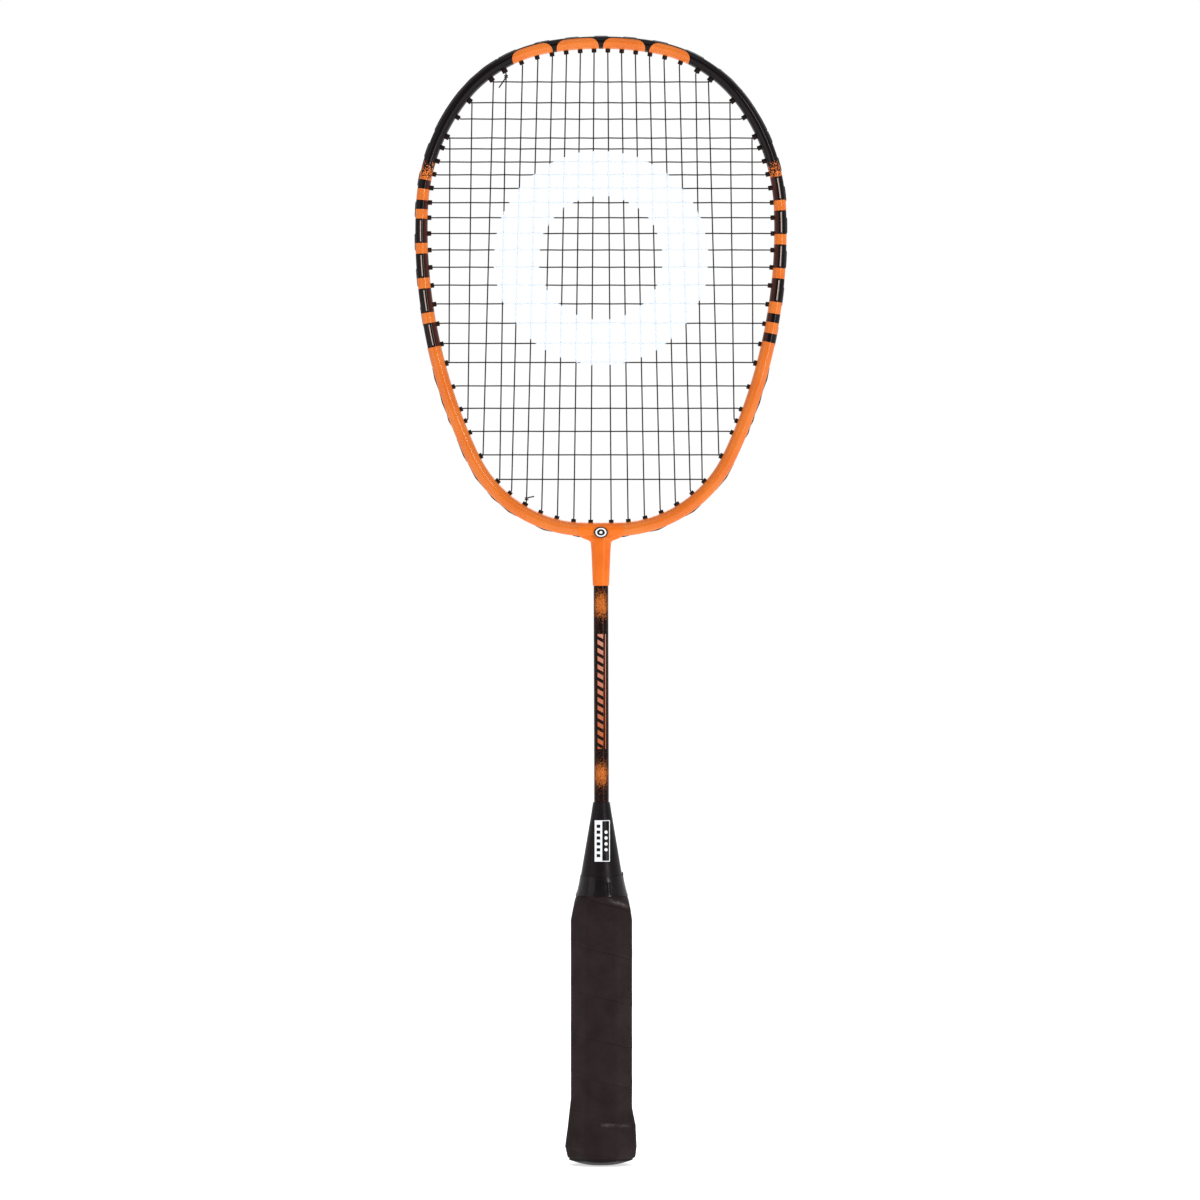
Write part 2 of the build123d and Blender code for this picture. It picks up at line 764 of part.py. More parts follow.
with BuildPart() as butt_cap:
    flared_end(0.0, 0.0, 0.0)
    with Locations((0, 0, butt_dome_radius - butt_dome_drop)):
        Sphere(butt_dome_radius, mode=Mode.INTERSECT)
    extrude(handle_face(butt_floor, -2 * butt_wall), amount=butt_top - butt_floor, mode=Mode.SUBTRACT)
    for tack_plane in tack_planes:
        with BuildSketch(tack_plane) as tack_hole:
            Circle(tack_shank_diameter / 2 + pin_clearance)
        extrude(tack_hole.sketch, amount=-tack_length, mode=Mode.SUBTRACT)
        with BuildSketch(tack_plane) as tack_seat:
            Circle(tack_head_diameter / 2 + pin_clearance)
        extrude(tack_seat.sketch, amount=tack_head_diameter, mode=Mode.SUBTRACT)
butt_cap.part.label = "butt_cap"
export_step(butt_cap.part, "parts/butt_cap.step")


def tack(plane):
    with BuildSketch(plane) as shank:
        Circle(tack_shank_diameter / 2)
    extrude(shank.sketch, amount=-tack_length)
    with BuildSketch(plane) as head:
        Circle(tack_head_diameter / 2)
    extrude(head.sketch, amount=tack_head_thickness)


with BuildPart() as cap_tacks:
    for tack_plane in tack_planes[:2]:
        tack(tack_plane)
cap_tacks.part.label = "cap_tacks"
export_step(cap_tacks.part, "parts/cap_tacks.step")

with BuildPart() as grip_tack:
    tack(tack_planes[2])
grip_tack.part.label = "grip_tack"
export_step(grip_tack.part, "parts/grip_tack.step")

grip_grow = 2 * grip_thickness
with BuildPart() as grip_wrap:
    flared_end(grip_bottom, grip_grow, grip_rounding)
    extrude(handle_face(butt_top, grip_grow, grip_rounding), amount=grip_taper_bottom - butt_top)
    loft([
        handle_face(grip_taper_bottom, grip_grow, grip_rounding),
        handle_face(grip_top, grip_top_width - handle_width, grip_rounding),
    ])
    fillet(grip_wrap.faces().sort_by(Axis.Z)[0].edges(), grip_end_rounding)
    flared_end(0.0, 0.0, 0.0, Mode.SUBTRACT)
    extrude(handle_face(butt_top, 0.0), amount=cone_bottom - butt_top, mode=Mode.SUBTRACT)
    with BuildSketch(Plane.XY.offset(cone_bottom)) as cone_end:
        cone_section(cone_bottom, 0.0)
    with BuildSketch(Plane.XY.offset(grip_top)) as cone_middle:
        cone_section(grip_top, 0.0)
    loft([cone_end.sketch, cone_middle.sketch], mode=Mode.SUBTRACT)
grip_wrap.part.label = "grip_wrap"
export_step(grip_wrap.part, "parts/grip_wrap.step")

with BuildPart() as finishing_tape:
    with BuildSketch(Plane.XY.offset(grip_top)):
        cone_section(grip_top, tape_thickness)
    with BuildSketch(Plane.XY.offset(tape_top)):
        cone_section(tape_top, tape_thickness)
    loft()
    with BuildSketch(Plane.XY.offset(grip_top)):
        cone_section(grip_top, 0.0)
    with BuildSketch(Plane.XY.offset(tape_top)):
        cone_section(tape_top, 0.0)
    loft(mode=Mode.SUBTRACT)
finishing_tape.part.label = "finishing_tape"
export_step(finishing_tape.part, "parts/finishing_tape.step")
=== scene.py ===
import math

import bmesh
import bpy
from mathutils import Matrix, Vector, noise


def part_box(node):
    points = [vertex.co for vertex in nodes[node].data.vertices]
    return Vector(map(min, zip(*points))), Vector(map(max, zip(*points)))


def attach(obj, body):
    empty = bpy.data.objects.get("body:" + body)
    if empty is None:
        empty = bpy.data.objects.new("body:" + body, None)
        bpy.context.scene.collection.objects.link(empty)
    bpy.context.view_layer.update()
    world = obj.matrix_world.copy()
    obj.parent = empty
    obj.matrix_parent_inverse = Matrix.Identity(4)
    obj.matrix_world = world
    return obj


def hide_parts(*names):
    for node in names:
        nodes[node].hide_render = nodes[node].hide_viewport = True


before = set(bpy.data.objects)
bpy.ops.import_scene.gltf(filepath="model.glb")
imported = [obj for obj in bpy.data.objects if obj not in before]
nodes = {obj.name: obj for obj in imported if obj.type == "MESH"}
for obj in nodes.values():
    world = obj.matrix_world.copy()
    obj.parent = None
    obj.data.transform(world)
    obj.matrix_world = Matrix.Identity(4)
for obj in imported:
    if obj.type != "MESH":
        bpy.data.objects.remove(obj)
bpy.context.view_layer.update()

# The looks of a short speed-badminton racket. Sizes are in millimetres in the racket's own frame:
# +Z from the butt to the crown, X across the head, the front towards -Y. Meshes are written in metres.
MM = 0.001


def sin(degrees):
    return math.sin(math.radians(degrees))


def cos(degrees):
    return math.cos(math.radians(degrees))


def lerp(a, b, share):
    return a + (b - a) * share


def smooth(low, high, value):
    """0 below low, 1 above high, and a smooth rise between them."""
    share = min(1.0, max(0.0, (value - low) / (high - low)))
    return share * share * (3 - 2 * share)


def bell(off, width):
    """1 where off is 0, falling away on both sides."""
    return math.exp(-(off / width) ** 2)


# ---------------------------------------------------------------- camera and light
view_width = 638.3              # of the square picture, at the racket
view_middle = (-0.5, 300.1)     # x and z in the middle of the picture
lens = 200.0
sensor = 36.0

camera_data = bpy.data.cameras.new("camera")
camera_data.lens = lens
camera_data.sensor_width = sensor
camera = bpy.data.objects.new("camera", camera_data)
bpy.context.scene.collection.objects.link(camera)
camera.location = Vector((view_middle[0], -view_width * lens / sensor, view_middle[1])) * MM
camera.rotation_euler = (math.radians(90), 0, 0)
camera_data.clip_end = 50
bpy.context.scene.camera = camera
bpy.context.scene.view_settings.view_transform = "Standard"


def softbox(name, place, aim, width, height, power):
    """A soft rectangular light, placed and aimed in metres."""
    data = bpy.data.lights.new(name, "AREA")
    data.shape = "RECTANGLE"
    data.size = width
    data.size_y = height
    data.energy = power
    light = bpy.data.objects.new(name, data)
    bpy.context.scene.collection.objects.link(light)
    light.location = place
    light.rotation_euler = (Vector(aim) - Vector(place)).to_track_quat("-Z", "Y").to_euler()


softbox("key_softbox", (1.45, -2.1, 0.9), (0, 0, 0.33), 0.42, 1.7, 26.0)
softbox("left_softbox", (-1.45, -1.15, 0.65), (0, 0, 0.33), 1.1, 1.6, 5.0)
softbox("top_softbox", (0.1, -1.0, 2.1), (0, 0, 0.4), 2.0, 1.2, 8.0)
softbox("back_softbox", (0.2, 1.6, 1.5), (0, 0, 0.4), 1.6, 1.0, 12.0)


def studio_world():
    """White to look at, and dimmer towards the front than behind the racket for what it lights."""
    world = bpy.data.worlds.new("studio")
    bpy.context.scene.world = world
    world.use_nodes = True
    tree = world.node_tree
    tree.nodes.clear()

    def make(kind, **settings):
        node = tree.nodes.new(kind)
        for key, value in settings.items():
            setattr(node, key, value)
        return node

    place = make("ShaderNodeTexCoord")
    split = make("ShaderNodeSeparateXYZ")
    tree.links.new(place.outputs["Generated"], split.inputs[0])
    level = make("ShaderNodeMapRange", interpolation_type="SMOOTHSTEP")
    tree.links.new(split.outputs["Y"], level.inputs["Value"])
    level.inputs["From Min"].default_value = -1.0
    level.inputs["From Max"].default_value = 0.4
    level.inputs["To Min"].default_value = 0.22
    level.inputs["To Max"].default_value = 0.95
    lit = make("ShaderNodeBackground")
    tree.links.new(level.outputs[0], lit.inputs["Strength"])
    seen = make("ShaderNodeBackground")
    lit.inputs["Color"].default_value = (1, 1, 1, 1)
    seen.inputs["Color"].default_value = (1, 1, 1, 1)
    ray = make("ShaderNodeLightPath")
    either = make("ShaderNodeMixShader")
    tree.links.new(ray.outputs["Is Camera Ray"], either.inputs[0])
    tree.links.new(lit.outputs[0], either.inputs[1])
    tree.links.new(seen.outputs[0], either.inputs[2])
    out = make("ShaderNodeOutputWorld")
    tree.links.new(either.outputs[0], out.inputs[0])


studio_world()


# ---------------------------------------------------------------- materials
class Finish:
    """A node-based material. Values given to its calls are numbers or other nodes' outputs."""

    def __init__(self, name, **sockets):
        self.material = bpy.data.materials.new(name)
        self.material.use_nodes = True
        self.tree = self.material.node_tree
        self.tree.nodes.clear()
        self.shader = self.tree.nodes.new("ShaderNodeBsdfPrincipled")
        out = self.tree.nodes.new("ShaderNodeOutputMaterial")
        self.tree.links.new(self.shader.outputs[0], out.inputs[0])
        for key, value in sockets.items():
            self.shader.inputs[key.replace("_", " ")].default_value = value
        self.place = self.tree.nodes.new("ShaderNodeTexCoord").outputs["Object"]

    def feed(self, socket, value):
        if isinstance(value, bpy.types.NodeSocket):
            self.tree.links.new(value, socket)
        else:
            socket.default_value = value

    def math(self, operation, *values):
        node = self.tree.nodes.new("ShaderNodeMath")
        node.operation = operation
        for socket, value in zip(node.inputs, values):
            self.feed(socket, value)
        return node.outputs[0]

    def product(self, first, *rest):
        for value in rest:
            first = self.math("MULTIPLY", first, value)
        return first

    def either(self, first, *rest):
        for value in rest:
            first = self.math("MAXIMUM", first, value)
        return first

    def distance(self, across, up):
        """The length of the way across and up."""
        squares = self.math("ADD", self.product(across, across), self.product(up, up))
        return self.math("SQRT", squares)

    def axes(self):
        """The x, y and z of the shaded point, in millimetres."""
        split = self.tree.nodes.new("ShaderNodeSeparateXYZ")
        self.feed(split.inputs[0], self.place)
        return [self.math("MULTIPLY", out, 1 / MM) for out in split.outputs]

    def attribute(self, name):
        node = self.tree.nodes.new("ShaderNodeAttribute")
        node.attribute_name = name
        return node.outputs["Fac"]

    def rise(self, value, low, high, to_low=0.0, to_high=1.0):
        """A smooth change from to_low to to_high, while value goes from low to high."""
        node = self.tree.nodes.new("ShaderNodeMapRange")
        node.interpolation_type = "SMOOTHSTEP"
        for socket, given in zip(node.inputs, (value, low, high, to_low, to_high)):
            self.feed(socket, given)
        return node.outputs[0]

    def inside(self, value, middle, half, soft=0.12):
        """1 where value is within half of middle, with an edge soft wide."""
        off = self.math("ABSOLUTE", self.math("SUBTRACT", value, middle))
        return self.rise(off, half - soft / 2, half + soft / 2, 1.0, 0.0)

    def noise(self, size, detail=3.0, rough=0.55, stretch=(1, 1, 1)):
        """Noise from 0 to 1, its lumps about size millimetres, wider along an axis by its stretch."""
        scaled = self.tree.nodes.new("ShaderNodeMapping")
        self.feed(scaled.inputs["Vector"], self.place)
        scaled.inputs["Scale"].default_value = [1 / (size * MM * part) for part in stretch]
        node = self.tree.nodes.new("ShaderNodeTexNoise")
        self.feed(node.inputs["Vector"], scaled.outputs[0])
        node.inputs["Scale"].default_value = 1.0
        node.inputs["Detail"].default_value = detail
        node.inputs["Roughness"].default_value = rough
        return node.outputs["Fac"]

    def cells(self, size):
        """The distance from the middle of small cells, about size millimetres wide."""
        scaled = self.tree.nodes.new("ShaderNodeMapping")
        self.feed(scaled.inputs["Vector"], self.place)
        scaled.inputs["Scale"].default_value = [1 / (size * MM)] * 3
        node = self.tree.nodes.new("ShaderNodeTexVoronoi")
        self.feed(node.inputs["Vector"], scaled.outputs[0])
        node.inputs["Scale"].default_value = 1.0
        return node.outputs["Distance"]

    def mix(self, share, first, second):
        """first where share is 0, second where it is 1. Both are colours."""
        node = self.tree.nodes.new("ShaderNodeMix")
        node.data_type = "RGBA"
        self.feed(node.inputs[0], share)
        for socket, value in ((node.inputs[6], first), (node.inputs[7], second)):
            self.feed(socket, (*value, 1.0) if isinstance(value, tuple) else value)
        return node.outputs[2]

    def colour(self, value):
        self.feed(self.shader.inputs["Base Color"], value)

    def roughness(self, value):
        self.feed(self.shader.inputs["Roughness"], value)

    def bump(self, height, depth, strength=1.0):
        """Relief from a height of 0 to 1 that stands depth millimetres proud."""
        node = self.tree.nodes.new("ShaderNodeBump")
        node.inputs["Distance"].default_value = depth * MM
        node.inputs["Strength"].default_value = strength
        self.feed(node.inputs["Height"], height)
        self.feed(self.shader.inputs["Normal"], node.outputs[0])

    def put_on(self, piece):
        piece.data.materials.clear()
        piece.data.materials.append(self.material)


# Paint and plastic colours, as linear red, green and blue.
orange = (0.66, 0.165, 0.022)
deep_orange = (0.62, 0.135, 0.014)
joint_orange = (0.74, 0.155, 0.011)
black_paint = (0.0030, 0.0014, 0.0022)
white_ink = (0.80, 0.82, 0.84)


# ---------------------------------------------------------------- meshes
def skin(name, rings, closed=False, attributes=None, crease=38.0):
    """A mesh through rings of points in millimetres. closed joins the last ring to the first,
    and otherwise the two end rings are filled. attributes maps a name to a value for each point."""
    count = len(rings[0])
    points = [Vector(point) * MM for ring in rings for point in ring]
    faces = []
    last = len(rings) if closed else len(rings) - 1
    for i in range(last):
        here = i * count
        there = (i + 1) % len(rings) * count
        for j in range(count):
            k = (j + 1) % count
            faces.append((here + j, here + k, there + k, there + j))
    if not closed:
        faces.append(tuple(reversed(range(count))))
        faces.append(tuple(range((len(rings) - 1) * count, len(rings) * count)))
    mesh = bpy.data.meshes.new(name)
    mesh.from_pydata(points, [], faces)
    for key, values in (attributes or {}).items():
        layer = mesh.attributes.new(key, "FLOAT", "POINT")
        layer.data.foreach_set("value", values)
    return finished(name, mesh, crease)


def finished(name, mesh, crease):
    """An object for a mesh, with its normals outward and its edges sharp past the crease angle."""
    shape = bmesh.new()
    shape.from_mesh(mesh)
    bmesh.ops.recalc_face_normals(shape, faces=shape.faces)
    shape.to_mesh(mesh)
    shape.free()
    mesh.shade_smooth()
    mesh.set_sharp_from_angle(angle=math.radians(crease))
    piece = bpy.data.objects.new(name, mesh)
    bpy.context.scene.collection.objects.link(piece)
    return piece


def stand_for(piece, slot, *replaced):
    """Lets a piece ride on the racket, in place of the CAD nodes that it replaces."""
    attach(piece, "root")
    if replaced:
        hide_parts(*replaced)


def round_corners(corners, radius, steps=4, least_turn=20.0):
    """A closed outline with an arc in place of each corner that turns by more than least_turn."""
    points = []
    for i, corner in enumerate(corners):
        corner = Vector(corner)
        before = Vector(corners[i - 1])
        after = Vector(corners[(i + 1) % len(corners)])
        into = (corner - before).normalized()
        out_of = (after - corner).normalized()
        turn = into.angle(out_of)
        if math.degrees(turn) < least_turn:
            points.append(corner)
            continue
        shorter_side = min((corner - before).length, (after - corner).length)
        reach = min(radius * math.tan(turn / 2), 0.45 * shorter_side)
        first = corner - into * reach
        last = corner + out_of * reach
        for step in range(steps + 1):
            share = step / steps
            points.append(lerp(lerp(first, corner, share), lerp(corner, last, share), share))
    return points


def evenly(outline, count):
    """count points at even distances along a closed outline, from its first point on."""
    lengths = [0.0]
    closed = [*outline, outline[0]]
    for a, b in zip(closed, closed[1:]):
        lengths.append(lengths[-1] + (b - a).length)
    points = []
    place = 0
    for i in range(count):
        along = lengths[-1] * i / count
        while lengths[place + 1] < along:
            place += 1
        share = (along - lengths[place]) / (lengths[place + 1] - lengths[place])
        points.append(lerp(closed[place], closed[place + 1], share))
    return points


# ---------------------------------------------------------------- the hoop's centreline
crown_height = 596.7
upper_half_thickness = 3.48     # of the tube, in the string plane, at the crown
lower_half_thickness = 3.88     # and around the throat
thickens = (88.0, 108.0)        # between these headings
half_depth = 4.7                # of the tube, along Y
half_channel = 2.0
channel_floor = 2.4
joint_half_width = 12.0

# Tangent arcs on the right half, from the crown to the throat: (radius, angle turned).
hoop_arcs = [(167.0, 10.0), (73.2, 42.5), (102.0, 34.9), (281.0, 27.9)]
bottom_arc = (900.0, 0.5)


def close_arcs():
    """Adds the corner arc, which brings the centreline to x = 0, and the bottom arc."""
    x = 0.0
    heading = 0.0
    for radius, angle in hoop_arcs:
        x += radius * (sin(heading + angle) - sin(heading))
        heading += angle
    last = 180.0 - bottom_arc[1]
    radius = (bottom_arc[0] * sin(last) - x) / (sin(last) - sin(heading))
    hoop_arcs.extend([(radius, last - heading), bottom_arc])


close_arcs()


def hoop_point(heading, outward=0.0, y=0.0):
    """A point beside the hoop's centreline, where its outward normal is heading degrees from
    straight up: positive headings are on the right half, negative ones on the left."""
    size = abs(heading)
    x = 0.0
    z = crown_height
    start = 0.0
    for radius, angle in hoop_arcs:
        end = min(size, start + angle)
        x += radius * (sin(end) - sin(start))
        z += radius * (cos(end) - cos(start))
        start += angle
        if size <= start:
            break
    return Vector((math.copysign(x, heading) + outward * sin(heading), y, z + outward * cos(heading)))


def run_to(heading):
    """The length of the centreline from the crown to a heading."""
    size = abs(heading)
    run = 0.0
    start = 0.0
    for radius, angle in hoop_arcs:
        run += radius * math.radians(max(0.0, min(angle, size - start)))
        start += angle
    return math.copysign(run, heading)


def solve(gap, low, high):
    """The heading between low and high where gap(heading) changes sign."""
    rising = gap(high) > 0
    for _ in range(40):
        middle = (low + high) / 2
        if (gap(middle) > 0) == rising:
            high = middle
        else:
            low = middle
    return (low + high) / 2


def run_at_height(z):
    return run_to(solve(lambda heading: hoop_point(heading).z - z, 0.0, 179.0))


def hoop_profile(heading, floor):
    """The tube's section as (outward, y), with the string channel cut down to floor."""
    half_thickness = lerp(upper_half_thickness, lower_half_thickness, smooth(*thickens, abs(heading)))
    lip = math.degrees(math.asin(half_channel / half_depth))
    steps = 44
    headings = [lip + (360 - 2 * lip) * i / steps for i in range(steps + 1)]
    outline = [Vector((half_thickness * cos(t), half_depth * sin(t))) for t in headings]
    outline += [Vector((floor, -half_channel)), Vector((floor, half_channel))]
    return round_corners(outline, 0.32)


def sweep_hoop(first, last, spacing, floor_at):
    """Rings of the tube's section between two headings, and each point's run and outward place."""
    headings = []
    start = 0.0
    for radius, angle in hoop_arcs:
        steps = math.ceil(radius * math.radians(angle) / spacing)
        headings += [start + angle * i / steps for i in range(steps)]
        start += angle
    both = sorted({sign * heading for heading in headings for sign in (1, -1)})
    kept = [first] + [heading for heading in both if first + 0.05 < heading < last - 0.05] + [last]
    rings = []
    values = {"run": [], "across": []}
    for heading in kept:
        profile = hoop_profile(heading, floor_at(heading))
        rings.append([hoop_point(heading, outward, y) for outward, y in profile])
        values["run"] += [run_to(heading)] * len(profile)
        values["across"] += [outward for outward, _ in profile]
    return rings, values


joint_heading = solve(lambda heading: joint_half_width - hoop_point(heading).x, 90.0, 179.9)

# ---------------------------------------------------------------- head hoop
# Rows of printed bars down the sides: side, height of the first bar's top, bar length, pitch,
# number of bars, and whether a slot runs down the middle of each: a gap in the print, coloured pale as a
# painted highlight.
side_rows = (
    (-1, 523.5, 4.9, 10.9, 2, False),
    (-1, 502.8, 13.0, 18.6, 4, True),
    (1, 525.1, 12.6, 18.1, 4, True),
    (1, 452.3, 4.8, 10.7, 2, False),
)
slot_place = 0.25               # outward from the tube's middle
slot_half_width = 0.26
slot_end = 0.9                  # from a slot's end to the bar's end
crown_bar_pitch = 25.05
crown_bar_half = 11.4           # half the length of a bar
crown_bar_edge = 2.2            # how far out a bar reaches
crown_bar_rounding = 5.0
fade_top = run_at_height(538.0)         # where the crown's black starts to break up
fade_bottom = run_at_height(517.0)      # and where it ends
worn_edge = (-2.0, -1.2)        # how far out the bars turn from worn brown to black
orange_coat = 0.45              # weight of the clear coat over the orange
black_coat = 0.22               # and over the black


def crown_bars(finish, run, across):
    """Four orange bars around the crown, with large roundings on their outer corners."""
    turns = finish.math("FRACT", finish.math("DIVIDE", run, crown_bar_pitch))
    along = finish.math("SUBTRACT", finish.product(turns, crown_bar_pitch), crown_bar_pitch / 2)
    off = finish.math("ABSOLUTE", along)
    past = finish.math("MAXIMUM", finish.math("SUBTRACT", off, crown_bar_half - crown_bar_rounding), 0.0)
    square = finish.math("SUBTRACT", crown_bar_rounding ** 2, finish.product(past, past))
    arc = finish.math("SQRT", finish.math("MAXIMUM", square, 0.0))
    edge = finish.math("ADD", arc, crown_bar_edge - crown_bar_rounding)
    under = finish.rise(finish.math("SUBTRACT", edge, across), -0.05, 0.05)
    near = finish.inside(run, 0.0, 2 * crown_bar_pitch)
    within = finish.rise(off, crown_bar_half - 0.05, crown_bar_half + 0.05, 1.0, 0.0)
    return finish.product(under, near, within)


def side_bars(finish, run, across):
    """The black bars down both sides and the slots down their middles, as masks. The slots are gaps in
    the print, and their pale colour is a painted highlight.
    """
    rows = []
    slots_and_highlights = []
    for side, top, length, pitch, count, slotted in side_rows:
        first = run_at_height(top)
        along = finish.math("SUBTRACT", finish.product(run, side), first)
        turns = finish.math("FRACT", finish.math("DIVIDE", along, pitch))
        off = finish.math("SUBTRACT", finish.product(turns, pitch), length / 2)
        bar = finish.inside(off, 0.0, length / 2)
        bar = finish.product(bar, finish.inside(along, count * pitch / 2, count * pitch / 2))
        if slotted:
            slot = finish.inside(across, slot_place, slot_half_width)
            slot = finish.product(slot, finish.inside(off, 0.0, length / 2 - slot_end))
            slots_and_highlights.append(finish.product(bar, slot))
        rows.append(bar)
    return finish.either(*rows), finish.either(*slots_and_highlights)


def hoop_paint():
    finish = Finish("hoop_paint", Coat_Roughness=0.05, Specular_IOR_Level=0.04)
    run = finish.attribute("run")
    across = finish.attribute("across")
    fade = finish.rise(finish.math("ABSOLUTE", run), fade_top, fade_bottom)
    speckle = finish.rise(finish.noise(0.8, 2.0, 0.5), 0.3, 0.7, 0.1, 0.9)
    crown = finish.rise(finish.math("SUBTRACT", speckle, fade), -0.06, 0.06)
    crown = finish.product(crown, finish.math("SUBTRACT", 1.0, crown_bars(finish, run, across)))
    bars, slots_and_highlights = side_bars(finish, run, across)
    black = finish.either(crown, bars)
    tone = finish.mix(finish.rise(finish.noise(24.0, 2.0), 0.35, 0.65), orange, deep_orange)
    ink = finish.mix(finish.noise(6.0, 4.0), black_paint, (0.0060, 0.0030, 0.0040))
    worn = finish.product(bars, finish.rise(across, *worn_edge, 1.0, 0.0))
    worn_ink = finish.mix(worn, ink, (0.055, 0.010, 0.005))
    printed = finish.mix(black, tone, worn_ink)
    # The slots' pale grey-tan is a painted highlight over a gap in the print.
    finish.colour(finish.mix(slots_and_highlights, printed, (0.46, 0.34, 0.28)))
    finish.roughness(finish.rise(finish.noise(9.0, 4.0), 0.2, 0.8, 0.26, 0.38))
    coat = finish.rise(black, 0.0, 1.0, orange_coat, black_coat)
    finish.feed(finish.shader.inputs["Coat Weight"], coat)
    print_edge = finish.product(black, 0.5)
    finish.bump(finish.math("ADD", print_edge, finish.noise(5.0, 2.0)), 0.02)
    return finish


rings, values = sweep_hoop(-joint_heading, joint_heading, 2.0, lambda heading: channel_floor)
hoop = skin("hoop_tube", rings, attributes=values)
stand_for(hoop, "hoop_paint", "head_hoop")
hoop_paint().put_on(hoop)


# ---------------------------------------------------------------- T joint
# (height, half width, half depth) of the stem, and of the horn that joins it to the bridge.
stem_sections = (
    (307.6, 4.15, 4.15),
    (307.9, 4.38, 4.38),
    (316.0, 4.72, 4.6),
    (321.4, 4.92, 4.7),
    (326.7, 5.15, 4.8),
    (331.0, 5.5, 4.8),
    (337.4, 5.3, 4.5),
)
horn_sections = (
    (329.4, 5.1, 4.7),
    (330.9, 5.6, 4.7),
    (331.7, 6.6, 4.5),
    (332.3, 8.3, 4.3),
    (333.1, 10.2, 4.0),
    (334.0, 11.7, 3.7),
    (337.4, 11.7, 3.4),
)
groove_end = 6.5                # how near the middle the string groove runs


def axis_x(z):
    """How far the middle of the shaft and cone is to the right at a height."""
    return 0.30 * (1 - smooth(190.0, 320.0, z))


def oval(half_width, half_depth, z, count=64):
    """A ring of points in an oval around the shaft's axis, from the front round by the right."""
    turns = [360 * i / count for i in range(count)]
    return [Vector((axis_x(z) + half_width * sin(t), -half_depth * cos(t), z)) for t in turns]


def merged(name, parts, voxel, smoothing):
    """One smooth mesh from overlapping parts, remeshed voxel millimetres wide."""
    shape = bmesh.new()
    for part in parts:
        shape.from_mesh(part.data)
        bpy.data.objects.remove(part)
    mesh = bpy.data.meshes.new(name)
    shape.to_mesh(mesh)
    shape.free()
    rough = bpy.data.objects.new(name, mesh)
    bpy.context.scene.collection.objects.link(rough)
    remesh = rough.modifiers.new("remesh", "REMESH")
    remesh.mode = "VOXEL"
    remesh.voxel_size = voxel * MM
    soften = rough.modifiers.new("soften", "SMOOTH")
    soften.factor = 0.5
    soften.iterations = smoothing
    evaluated = rough.evaluated_get(bpy.context.evaluated_depsgraph_get())
    final = bpy.data.meshes.new_from_object(evaluated)
    bpy.data.objects.remove(rough)
    return finished(name, final, 60.0)


def joint_floor(heading):
    """The groove under the bridge runs out before it reaches the stem."""
    depth_share = smooth(groove_end, joint_half_width, abs(hoop_point(heading).x))
    return lerp(lower_half_thickness - 0.1, channel_floor, depth_share)


def bridge_rings():
    """The tube's section from one side of the joint to the other, through the throat."""
    steps = 48
    first = solve(lambda heading: joint_half_width + 0.3 - hoop_point(heading).x, 90.0, 179.9)
    rings = []
    for i in range(steps + 1):
        heading = first + (360 - 2 * first) * i / steps
        signed = heading if heading <= 180 else heading - 360
        profile = hoop_profile(signed, joint_floor(signed))
        rings.append([hoop_point(signed, outward, y) for outward, y in profile])
    return rings


def joint_paint():
    finish = Finish("joint_paint", Coat_Weight=0.2, Coat_Roughness=0.2, Specular_IOR_Level=0.06)
    tone = finish.mix(finish.rise(finish.noise(11.0, 3.0), 0.3, 0.7), joint_orange, (0.68, 0.128, 0.008))
    finish.colour(tone)
    finish.roughness(finish.rise(finish.noise(4.0, 4.0), 0.2, 0.8, 0.32, 0.46))
    finish.bump(finish.noise(3.0, 3.0), 0.03)
    return finish


joint = merged(
    "t_joint_casting",
    [
        skin("bridge", bridge_rings()),
        skin("stem", [oval(width, depth, z) for z, width, depth in stem_sections]),
        skin("horn", [oval(width, depth, z) for z, width, depth in horn_sections]),
    ],
    voxel=0.3,
    smoothing=7,
)
stand_for(joint, "joint_paint", "t_joint")
joint_paint().put_on(joint)


# ---------------------------------------------------------------- shaft
shaft_radius = 3.9
shaft_bore_radius = 2.7
shaft_bottom = 70.0
shaft_top = 328.0
# (height, half length) of the two speckled zones.
speckled_zones = ((297.5, 11.5), (207.5, 10.5))
dashes_bottom = 221.0
dashes_top = 282.0
dash_pitch = 4.36


